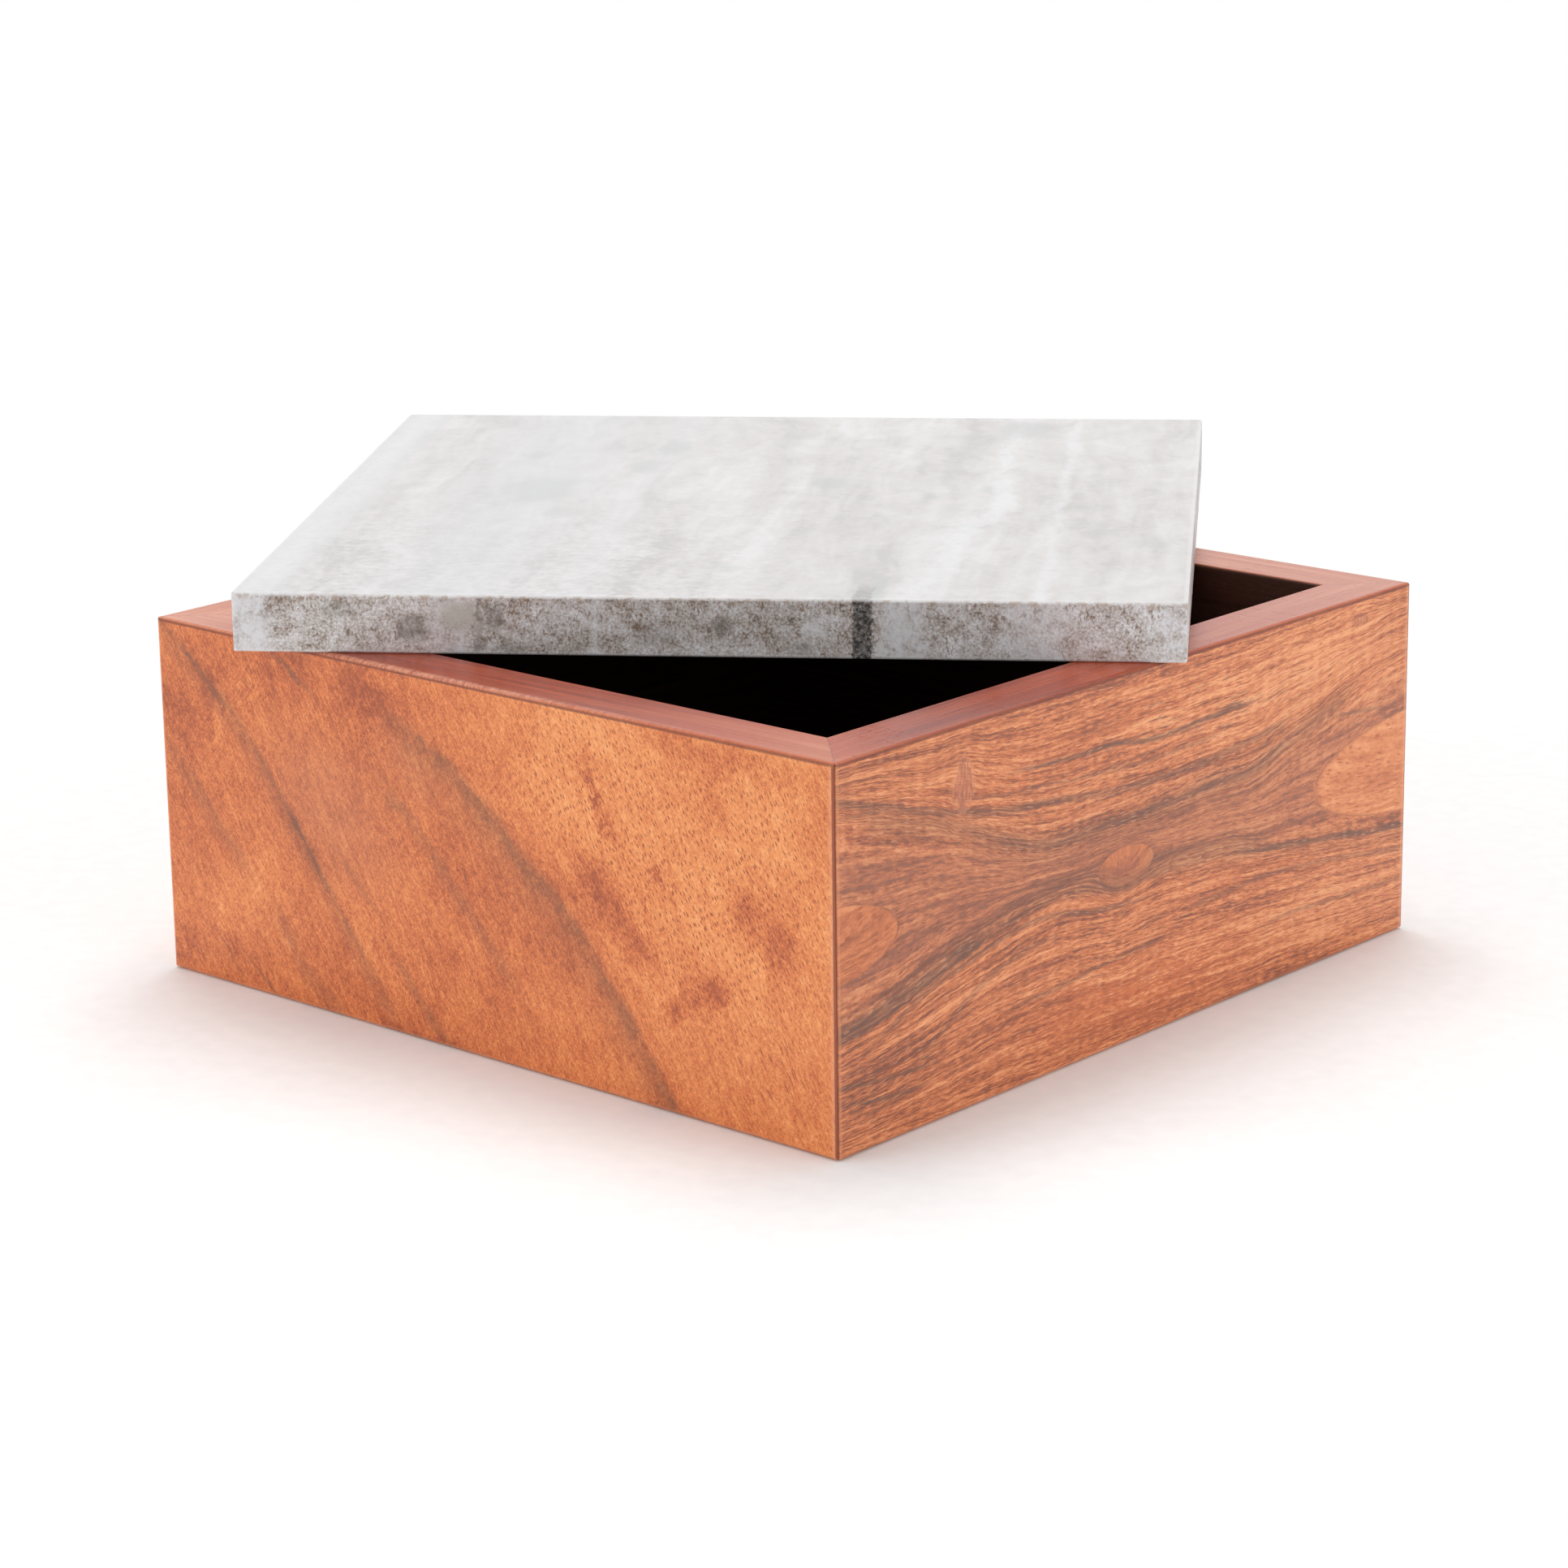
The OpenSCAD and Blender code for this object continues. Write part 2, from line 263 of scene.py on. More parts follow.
FRONT = {
    "main": FRONT_MAIN,
    "field": (66, 96),
    "lines": [
        (FRONT_THIN, 1.5, 1.0, 0.72, 5, 19, 1.0),
        (FRONT_THIN, 1.6, 1.1, 0.78, 28, 42, 1.0),
        (FRONT_THIN, 1.6, 1.2, 0.50, -10, 50, 1.0),
        (FRONT_THIN, 6.0, 2.6, 0.26, -10, 56, 1.0),
        (FRONT_MAIN, 3.4, 1.4, 0.56, 60, 140, 1.6),
        (FRONT_MAIN, 7.0, 2.2, 0.34, 56, 140, 1.6),
        (FRONT_MAIN, 12.0, 3.0, 0.20, 60, 140, 1.4),
        ([(0, 42), (4, 38.5), (10, 32.5), (17, 25.5), (21, 21.5), (33, 8)],
         4.6, 2.4, 0.30, 2, 20, 1.0),
        ([(45, 50), (57, 41), (62, 37.5), (69, 29.5), (74, 24.5), (80, 18.5), (92, 6)],
         4.6, 2.4, 0.30, 54, 84, 1.0),
        ([(62, 37.5), (69, 29.5), (74, 24.5), (80, 18.5), (92, 6)], 2.0, 1.2, 0.30, 66, 76, 1.0),
        ([(45, 27), (55, 14.5), (60, 8.5), (68, 0.5), (80, -14)], 3.0, 1.8, 0.36, 56, 80, 1.0),
        ([(20, 23), (29, 13.5), (34, 7.5), (40, 2.5), (50, -8)], 5.0, 2.6, 0.26, 27, 60, 1.0),
        ([(34, 39), (44, 28.5), (51, 21.5), (60, 12)], 2.0, 1.4, 0.26, 43, 52, 1.0),
        ([(10, 68), (28, 61), (33, 58.5), (38, 55), (50, 45)], 1.2, 0.7, 0.70, 29, 37, 1.0),
        ([(10, 14), (19, 6.8), (27, -0.5), (40, -12)], 0.7, 0.6, 0.62, 20, 40, 1.0),
        ([(4, 15), (14, 6.6), (19, 2.4), (30, -6)], 0.5, 0.4, 0.5, 12, 19, 1.0),
        ([(0, 60), (50, 44), (53, 42), (60, 38), (80, 20)], 1.4, 1.0, 0.45, 55, 64, 1.0),
    ],
    "marks": [
        (104, 33, 16, 6.4, -42, -0.30), (112, 26, 9, 5.4, -34, -0.18),
        (125, 20.5, 10, 4.6, 22, -0.22), (119, 17, 5, 2.8, 10, -0.18),
        (128, 22, 3.4, 2.6, 0, -0.20), (134, 36, 5.5, 4.4, -50, -0.20),
        (140, 31, 4.4, 6, -20, -0.20), (138, 36, 13, 12, -20, -0.15),
        (103, 49, 5.6, 1.9, -70, -0.34), (105, 44, 3.0, 1.6, -40, -0.26),
        (101, 54, 5, 2.0, -60, -0.14), (116, 38, 2.2, 1.5, -50, -0.22),
        (5, 46, 13, 10, -30, -0.17), (13, 50, 5, 7, 0, -0.10), (51, 57, 13, 6, -14, -0.22),
        (26, 56, 16, 9, 0, -0.10), (34, 30, 11, 3.0, -52, -0.16), (13, 52.5, 9, 2.8, -42, -0.10),
        (34, 22, 9, 14, -30, -0.07), (150, 52, 8, 16, 0, -0.12), (147, 8, 12, 8, 0, -0.06),
        (36, 58, 14, 5, -10, -0.05), (8, 57, 8, 5, -30, -0.04), (62, 0.5, 15, 2.0, 0, -0.24),
        (128, 60, 26, 3.6, -4, -0.18), (128, 54, 7, 6, -20, -0.07), (143, 24, 9, 9, 0, -0.06),
        (4, 4, 8, 4, 0, -0.10), (16, 8, 5, 3, -20, -0.06), (44, 12, 2.4, 8, 0, -0.12),
        (76, 30, 16, 10, -40, -0.05), (64, 16, 20, 4, -30, -0.03), (97, 8, 10, 3, -40, -0.05),
        (92, 50, 12, 6, -10, 0.05), (97, 46, 7, 4, -10, 0.05), (122, 31, 9, 4, -30, 0.06),
        (112, 44, 12, 5, -10, 0.04), (143, 44, 7, 8, 0, 0.03), (24, 54, 6, 6, 60, 0.10),
        (14, 44, 2.2, 8, -25, 0.13), (45, 31, 1.6, 4, -25, 0.13), (24, 20, 8, 18, -40, 0.06),
        (12, 15, 12, 6, -20, 0.07), (88, 14, 16, 7, -30, 0.09), (110, 4, 9, 3, 0, 0.05),
        (96, 37, 9, 2.4, -42, 0.12), (75, 56, 12, 4, 0, 0.06), (70, 20, 10, 3, -35, 0.05),
        (28, 10, 8, 4, -40, 0.05), (150, 60, 4, 3, 0, -0.06), (57, 6, 6, 4, 0, 0.05),
        (22, 17, 17, 8, -30, 0.05), (50, 12, 9, 6, -40, 0.06), (123, 17, 8, 5, 0, 0.05),
    ],
    "dull": [(42, 36, 26, 18, -30, 1.0), (60, 46, 14, 8, -30, 0.6)],
    "ripples": [(23, 54, 8, 8, 45, 1.0), (14, 44, 4, 9, -20, 0.8), (44, 31, 5, 5, 0, 0.7),
                (24, 18, 10, 14, -30, 0.4), (84, 46, 12, 10, -20, 0.5)],
    "strokes": [(26, 54, 9, 7, 40, 1.0), (40, 53, 7, 5, 0, 0.8), (140, 12, 16, 12, 0, 1.0),
                (22, 5, 10, 4, -20, 0.8)],
    "fine_pores": [(126, 40, 50, 44, 0, 1.3), (95, 52, 22, 18, 0, 0.9), (50, 50, 14, 11, 0, 0.7),
                   (30, 52, 10, 9, 0, 0.5), (60, 10, 18, 10, 0, 0.7), (84, 22, 14, 12, 0, 0.4),
                   (10, 4, 10, 5, 0, 0.6)],
    "rim": [(0, 0.84), (14, 0.72), (34, 0.40), (75, 0.36), (105, 0.42), (130, 0.52), (145, 0.66),
            (152.4, 0.70)],
    "band": [(0, 0.4), (20, 0.5), (45, 0.6), (75, 0.6), (110, 0.5), (152.4, 0.4)],
    "wear_and_highlight": [(0, 0.35), (40, 0.75), (70, 0.95), (100, 0.60), (130, 0.30), (152.4, 0.2)],
    "matt": [(0, 0.20), (30, 0.18), (70, 0.16), (100, 0.18), (135, 0.22), (152.4, 0.22)],
}
# The left and back boards don't show in the photo: their figure is made to suit the others
LEFT_MAIN = [(-20, 74), (6, 60), (24, 50), (40, 39), (54, 30), (66, 19), (76, 8), (84, -2),
             (96, -20)]
LEFT_THIN = [(40, 80), (66, 64), (80, 54), (92, 43), (101, 33), (110, 21), (120, 8), (128, -2),
             (140, -18)]
LEFT = {
    "main": LEFT_MAIN,
    "field": (10, 60),
    "lines": [
        (LEFT_MAIN, 2.4, 1.4, 0.62, -10, 140, 1.6),
        (LEFT_MAIN, 6.5, 2.4, 0.38, -20, 140, 1.5),
        (LEFT_THIN, 1.6, 1.1, 0.66, 74, 122, 1.0),
        (LEFT_THIN, 5.5, 2.2, 0.30, 60, 140, 1.0),
        ([(90, 66), (108, 55), (119, 46), (130, 36), (141, 25), (160, 4)],
         2.4, 1.4, 0.46, 106, 146, 1.0),
        ([(0, 34), (12, 26), (22, 17), (31, 7), (40, -4)], 3.2, 1.6, 0.42, -5, 36, 1.0),
        ([(50, 60), (62, 50), (71, 42), (84, 28)], 2.0, 1.2, 0.34, 58, 76, 1.0),
        ([(126, 24), (138, 12), (150, -2)], 1.0, 0.7, 0.60, 128, 148, 1.0),
    ],
    "marks": [
        (60, 44, 13, 4, -38, -0.20), (72, 36, 7, 3.5, -20, -0.14), (88, 22, 9, 3.4, 18, -0.16),
        (97, 15, 5, 2.4, 0, -0.12), (46, 52, 4, 1, -68, -0.22), (128, 30, 12, 8, -30, -0.08),
        (18, 40, 12, 7, -30, -0.08), (140, 56, 12, 5, -10, -0.12), (30, 2, 16, 2.4, 0, -0.18),
        (100, 58, 22, 4, -4, -0.10), (74, 52, 12, 6, -12, 0.08), (120, 46, 10, 8, -20, 0.07),
        (104, 6, 14, 5, -10, 0.08), (12, 12, 12, 8, -20, 0.08), (146, 40, 8, 10, 0, 0.06),
        (50, 14, 12, 6, -36, 0.06), (140, 10, 12, 8, 0, 0.07), (36, 56, 10, 4, 0, 0.05),
    ],
    "dull": [(112, 30, 22, 18, -30, 0.8), (10, 50, 16, 10, -30, 0.6)],
    "ripples": [(124, 50, 10, 8, 45, 1.0), (76, 52, 10, 8, 0, 0.6), (20, 14, 12, 10, -20, 0.6)],
    "strokes": [(118, 52, 12, 7, 30, 1.0), (50, 10, 16, 9, 0, 0.9)],
    "fine_pores": [(64, 42, 34, 20, 0, 0.9), (140, 30, 14, 22, 0, 0.7), (20, 12, 18, 12, 0, 0.6)],
    "rim": [(0, 0.60), (30, 0.50), (70, 0.55), (110, 0.66), (152.4, 0.84)],
    "band": [(0, 0.5), (60, 0.8), (152.4, 0.6)],
    "wear_and_highlight": [(0, 0.2), (60, 0.5), (152.4, 0.3)],
    "matt": [(0, 0.2), (70, 0.35), (152.4, 0.2)],
}
RIGHT = {
    "upper": [(0, 53), (13, 50), (28, 46), (40, 41.5), (50, 38.5), (65, 38), (80, 38),
              (95, 38.5), (107, 38.5), (115, 41), (125, 43.5), (135, 46.5), (152.4, 49.5)],
    "lower": [(0, 19.5), (10, 21), (20, 23.5), (30, 26), (40, 28), (50, 29), (62, 28.5),
              (70, 27), (80, 27.5), (90, 26.7), (100, 26), (110, 24.5), (125, 22.5),
              (140, 20.5), (152.4, 19)],
    "lines": [
        ("upper", 2.6, 3.0, 0.50, 6, 134),
        ("upper", 1.1, 1.6, 0.80, 36, 118),
        ("upper", 5.5, 5.0, 0.22, 30, 128),
        ([(0, 56.5), (35, 47.5), (50, 45.5), (70, 43.5), (90, 43), (110, 44.5), (152.4, 53)],
         1.3, 1.0, 0.66, 0, 116),
        ("lower", 2.0, 3.4, 0.92, -10, 36),
        ("lower", 1.6, 4.8, 0.54, -10, 112),
        ("lower", 0.9, 1.1, 0.62, 36, 100),
        ("lower", 0.9, 1.0, 0.88, 100, 170),
        ("lower", 4.0, 3.0, 0.20, 90, 170),
        ([(0, 13), (10, 17.5), (20, 21.5), (30, 24), (40, 26), (50, 26.5), (62, 25), (74, 24),
          (152.4, 18)], 0.9, 0.7, 0.66, 10, 74),
        ([(0, 56), (43, 52.5), (56, 51.5), (70, 51), (78, 50), (90, 50.3), (106, 50.5),
          (152.4, 54)], 0.7, 0.6, 0.85, 44, 106),
        ([(0, 55), (43, 49), (56, 48), (80, 46.8), (110, 48), (152.4, 55)], 0.6, 0.5, 0.50, 30, 96),
        ([(0, 3), (23, 13.5), (30, 17.5), (40, 21.5), (50, 23), (152.4, 24)],
         1.4, 1.0, 0.46, 22, 52),
        ([(0, 9), (20, 7), (24, 7.5), (152.4, 8)], 0.7, 0.6, 0.80, 2, 20),
        ([(0, 11.5), (10, 10.5), (22, 10), (152.4, 8)], 0.5, 0.5, 0.75, 0, 22),
        ([(0, 15), (43, 13.5), (83, 15.5), (152.4, 12)], 0.6, 0.6, 0.66, 44, 82),
        ([(0, 20), (75, 18), (110, 19.5), (152.4, 14.5)], 0.9, 0.7, 0.44, 90, 160),
        ([(0, 12), (120, 11), (152.4, 9.5)], 0.7, 0.6, 0.50, 112, 160),
        ([(0, 54), (14, 52.5), (152.4, 50)], 0.5, 0.5, 0.6, 1, 14),
        ([(0, 47), (90, 44), (132, 43), (142, 42), (152.4, 41)], 0.6, 0.5, 0.7, 130, 143),
    ],
    "marks": [
        (125, 54, 30, 10, 8, 0.19), (92, 54, 34, 11, 4, 0.19), (40, 57, 34, 5, 0, 0.05),
        (80, 41.4, 44, 1.2, 0, 0.12), (34, 43.6, 22, 1.5, -14, 0.08),
        (118, 46.5, 12, 2.0, 14, 0.08),
        (72, 33.5, 56, 6.0, 0, -0.06), (24, 36, 22, 11, 0, -0.05), (8, 10, 20, 9, 10, -0.12),
        (117, 33.5, 9, 8, 0, -0.06), (128, 46.5, 10, 1.6, 14, -0.05), (94, 20, 34, 5, 0, 0.06),
        (104, 46.5, 26, 4, 4, 0.08),
        (114, 8, 36, 7, -3, 0.16), (128, 15, 24, 4, -6, 0.06), (60, 12, 30, 6, 8, 0.03),
        (36, 18, 10, 3, 28, 0.05), (108, 1.0, 30, 2.4, 0, -0.18), (66, 2, 40, 3.0, 0, -0.04),
        (6, 2.2, 7, 2.4, 0, 0.10), (140, 4, 14, 3, 0, 0.04), (4, 46, 16, 6, -12, -0.05),
        (22, 55, 12, 4, 0, 0.05), (142, 57, 12, 4, 0, 0.06), (50, 6, 18, 4, 0, 0.02),
    ],
    "eyes": [(161, 31, 37, 9.4, 0.150, 2.6), (-5, 34, 19.5, 6.6, 0.03, 2.2),
             (71.5, 30.4, 7.4, 3.2, 0.05, 1.6)],
    "knots": [(71.5, 30.4, 15, 7, 0.70), (137, 59, 12, 7, 0.5)],
    "warm": [(76, 8, 52, 11, 0, 0.55), (60, 53, 70, 9, 2, 0.20), (110, 20, 40, 5, -6, 0.25)],
    "scar": (30, 52.6),
    "hearts": [(71.5, 30.4, 1.0, 0.45), (137, 58.6, 0.8, 0.0)],
    "dash_places": [(90, 52, 60, 9, 0, 1.0), (20, 50, 30, 8, -10, 0.6), (12, 10, 22, 9, 10, 1.2),
                    (64, 16, 34, 6, 4, 0.8), (120, 15, 34, 5, 0, 0.5), (24, 28, 30, 5, 12, 0.6),
                    (60, 45, 40, 4, -4, 0.7)],
    "rim": [(0, 0.60), (10, 0.46), (28, 0.34), (60, 0.40), (100, 0.50), (130, 0.62), (152.4, 0.70)],
    "band": [(0, 0.45), (152.4, 0.45)],
    "wear_and_highlight": [(0, 0.25), (30, 0.1), (152.4, 0.1)],
    "matt": [(0, 0.22), (20, 0.20), (45, 0.16), (80, 0.16), (110, 0.14), (152.4, 0.10)],
}
BACK = {
    "upper": [(0, 46), (24, 49), (50, 51.5), (76, 50), (100, 45), (124, 40), (152.4, 37)],
    "lower": [(0, 12), (26, 11), (52, 14.5), (78, 20), (104, 24.5), (128, 26), (152.4, 25.5)],
    "lines": [
        ("upper", 2.4, 2.6, 0.46, -10, 170),
        ("upper", 1.0, 1.2, 0.74, 70, 170),
        ("lower", 1.1, 1.9, 0.80, 40, 130),
        ("lower", 1.2, 5.0, 0.40, -10, 150),
        ([(0, 38), (30, 41), (60, 42), (90, 38), (120, 33), (152.4, 31)], 1.0, 1.0, 0.50, 20, 130),
        ([(0, 5), (40, 6.5), (80, 12), (120, 17), (152.4, 18)], 0.9, 0.8, 0.66, 20, 110),
        ([(0, 56), (50, 58), (100, 54), (152.4, 47)], 0.7, 0.6, 0.70, 60, 140),
        ([(0, 24), (40, 25.5), (70, 29), (152.4, 34)], 0.8, 0.7, 0.44, 4, 60),
        ([(0, 8), (100, 8.5), (130, 9.5), (152.4, 9)], 0.6, 0.5, 0.76, 112, 146),
    ],
    "marks": [
        (30, 56, 34, 5, 0, 0.10), (120, 50, 30, 6, -10, 0.10), (60, 33, 44, 7, 0, -0.05),
        (20, 30, 22, 9, 0, -0.05), (132, 12, 24, 7, 0, 0.09), (40, 2, 40, 3, 0, -0.12),
        (86, 46, 30, 1.4, -14, 0.10), (64, 19, 24, 2, 10, 0.08), (110, 32, 18, 5, 0, -0.06),
        (10, 18, 16, 5, 0, 0.07),
    ],
    "eyes": [(-9, 31, 30, 7.5, 0.10, 2.6), (96, 33, 7, 3.2, 0.03, 1.6)],
    "knots": [(96, 33, 14, 7, 0.65), (40, 47, 11, 6, 0.5)],
    "warm": [(40, 6, 60, 10, 0, 0.40), (110, 52, 60, 9, 0, 0.25)],
    "scar": (128, 46),
    "hearts": [(96, 33, 1.0, 1.0), (40, 47, 0.8, 0.3)],
    "dash_places": [(40, 54, 50, 8, 0, 0.9), (110, 10, 44, 8, 0, 1.0), (40, 8, 36, 6, 0, 0.7),
                    (120, 44, 30, 6, -8, 0.7)],
    "rim": [(0, 0.68), (20, 0.70), (60, 0.68), (110, 0.55), (152.4, 0.55)],
    "band": [(0, 0.5), (152.4, 0.5)],
    "wear_and_highlight": [(0, 0.1), (80, 0.3), (152.4, 0.1)],
    "matt": [(0, 0.12), (80, 0.2), (152.4, 0.25)],
}

# The slab, in millimetres: a from its left end along the front edge, b backwards, c upwards.
# Grey spots of the top: (a, b, half sizes along a and b, weight)
GREY_SPOTS = [(38, 84, 9, 16, 0.8), (57, 124, 4, 10, 0.9), (54, 106, 4, 9, 0.8),
              (90, 92, 5, 7, 1.0), (123, 144, 7, 12, 1.0), (120, 88, 4, 5, 0.8),
              (109, 81, 1.6, 4, 1.0), (32, 116, 3, 5, 0.6), (46, 65, 6, 5, 0.45),
              (106, 8, 1.8, 12, 1.4), (79, 22, 4, 5, 0.6), (150, 44, 5, 6, 0.6),
              (118, 56, 5, 3, 0.8), (72, 10, 26, 3, 0.25)]
# Dark spots of the front edge: (a, c, half sizes along a and c, weight)
DIM_SPOTS = [(30, 4.2, 3.8, 3.2, 0.9), (43.5, 6.4, 2.4, 3.4, 0.9), (18, 7.6, 4, 2.4, 0.5),
             (46, 1.2, 3, 1.5, 0.6), (81, 5, 3, 2.6, 0.8), (94, 1.5, 3, 1.6, 0.7),
             (70, 4, 5, 3, 0.35)]
# Pale bands of the front edge: (from a, to a, softness, weight)
PALE_BANDS = [(-2, 6.0, 1.2, 1.0), (33, 39.5, 1.5, 0.65), (107.0, 113.5, 1.5, 1.0),
              (127, 137, 2.5, 0.6), (59, 61, 1.2, 0.4), (151, 157, 2, 0.45)]
# Half depth of a spot of the front edge, backwards into the slab
EDGE_REACH = 9
# Where the white band of the top wanders, as (b, a)
WHITE_BAND = [(0, 112), (30, 115.5), (55, 117.5), (70, 122), (84, 122), (100, 120.5), (120, 120.5),
              (156.1, 122)]


def board_frame(g, quarter):
    """Millimetres on a board: u along its outer face from the left, d inwards, z up."""
    turn = math.radians(90 * quarter)
    corner = Matrix.Rotation(turn, 3, "Z") @ Vector((-BOX_HALF, -BOX_HALF, 0))
    where = g.add("TexCoord", {}, output="Object")
    p = g.place(where, corner, (0, 0, 90 * quarter), (MILLIMETRE,) * 3)
    return p, *g.parts(p)


def streak(g, u, off, below, above, strength, start, end, widen=1.0):
    """A dark line where off is 0, with its own reach on both sides and soft ends."""
    soft_end = 5
    # The share of its reach over which the line is at full strength
    full = 0.25
    if widen != 1.0:
        off = g.math("DIVIDE", off, g.line(u, start, end, 1.0, widen))
    line = g.product(g.step(off, -below, -full * below, 0.0, strength),
                     g.step(off, above, full * above))
    if start > 0:
        line = g.product(line, g.step(u, start - soft_end, start + soft_end))
    if end < SIDE:
        line = g.product(line, g.step(u, end + soft_end, end - soft_end))
    return line


def clouds(g, p, table):
    """The sum of soft ellipses."""
    result = g.blob(p, *table[0])
    for row in table[1:]:
        result = g.total(result, g.blob(p, *row))
    return result


def finish_board(g, frame_parts, face, face_height, seed, figure):
    """The face's colour on the outside, and what all boards share: rim, seams, inside and foot."""
    p, u, d, z = frame_parts
    # Rim: redder wood with fine lines along the board
    fine = g.noise(p, (24, 0.5, 0.5), 4, 0.65, 0.1, shift=seed + 3)
    broad = g.noise(p, (50, 2.4, 2.4), 2, 0.5, 0.0, shift=seed + 9)
    # The rim's tone: the wood's own, with painted sheen where it rises towards the ends and painted
    # shade where it dips beside the lid
    tone = g.curve(u, figure["rim"], up=(0.0, 1.0))
    rim = g.ramp(g.total(tone, g.product(fine, 0.5), g.product(broad, 0.4), -0.45), RIM_RAMP)
    # Outer arris of the rim: a dark line under a redder band, wider where more was sanded off
    band = g.curve(u, figure["band"], up=(0.0, 4.0))
    off = g.total(RIM, g.product(z, -1.0))
    in_band = g.step(off, g.total(band, 0.1), g.total(band, -0.3))
    colour = g.paint(g.product(in_band, 0.85), face, rim)
    scratches = g.noise(p, (0.5, 1.5, 1.5), 3, 0.6, shift=seed + 13)
    # The worn outer arris, painted light as a highlight on its rounding and broken up by scratches
    wear_and_highlight = g.product(g.curve(u, figure["wear_and_highlight"], up=(0.0, 1.0)),
                     g.step(off, band, g.total(band, -0.3)),
                     g.step(d, 1.7, 0.7), g.line(scratches, 0.36, 0.62, 0.25, 1.0))
    line = g.product(g.step(g.gap(off, band), 0.36, 0.10), g.step(d, 1.4, 0.9), 0.78)
    colour = g.paint(line, colour, ARRIS)
    on_rim = g.step(g.total(z, g.product(d, 0.8)), RIM + 0.15, RIM + 0.5)
    colour = g.paint(on_rim, colour, rim)
    # Painted highlight on the worn outer arris
    colour = g.paint(wear_and_highlight, colour, WEAR_AND_HIGHLIGHT)
    # Lower arris: a thin light-orange line of painted highlight
    colour = g.paint(g.product(g.step(z, 0.9, 0.3), 0.5), colour, LOWER_ARRIS_HIGHLIGHT)
    # Upright corners: a dark line on the rounding, the mitre joint deepened with painted shade,
    # beside a strip of painted highlight
    outside = g.step(d, 1.6, 0.9)
    from_right = g.math("SUBTRACT", SIDE, u)
    highlight_strip = g.highest(g.product(g.step(from_right, 1.6, 1.1), 0.42),
                      g.product(g.step(u, 1.0, 0.6), 0.36))
    below_rim = g.step(z, RIM - 0.2, RIM - 0.8)
    colour = g.paint(g.product(highlight_strip, outside, below_rim), colour, CORNER_HIGHLIGHT)
    corner = g.highest(g.product(g.step(from_right, 0.85, 0.6), 0.86),
                       g.product(g.step(u, 0.36, 0.16), 0.85))
    colour = g.paint(g.product(corner, outside, below_rim), colour, SEAM_AND_SHADE)
    # Mitres: the joint line on the rim
    mitre = g.math("MINIMUM", g.gap(u, d), g.gap(from_right, d))
    colour = g.paint(g.product(g.step(mitre, 0.26, 0.06), on_rim, 0.5), colour, ARRIS)
    # Inside: painted dark as shade, and lighter towards the rim as painted light, with grain in it
    # and the rim's brown in the first millimetre
    inside = g.product(g.step(d, WALL - 0.48, WALL - 0.15), g.step(z, RIM + 0.1, RIM - 0.25))
    grain = g.noise(p, (30, 1, 1.2), 4, 0.6, 0.2, shift=seed + 17)
    # Painted light, growing towards the rim
    depth = g.line(z, 30, RIM, 0.0, 0.45)
    painted_inside_shade = g.paint(g.total(g.step(grain, 0.3, 0.7, 0.0, 0.6), depth), INSIDE_SHADE_DEEP, INSIDE_SHADE_PALE)
    colour = g.paint(inside, colour, painted_inside_shade)
    height = g.total(face_height, g.product(fine, 0.25))
    satin = g.line(fine, 0.3, 0.7, 0.30, 0.42)
    glossy = g.total(g.curve(u, figure["matt"], up=(0.0, 1.0)), g.product(fine, 0.1))
    roughness = g.total(g.product(satin, g.rest(on_rim)), g.product(glossy, on_rim),
                        g.product(inside, 0.4))
    return g.finish(colour, roughness, height)


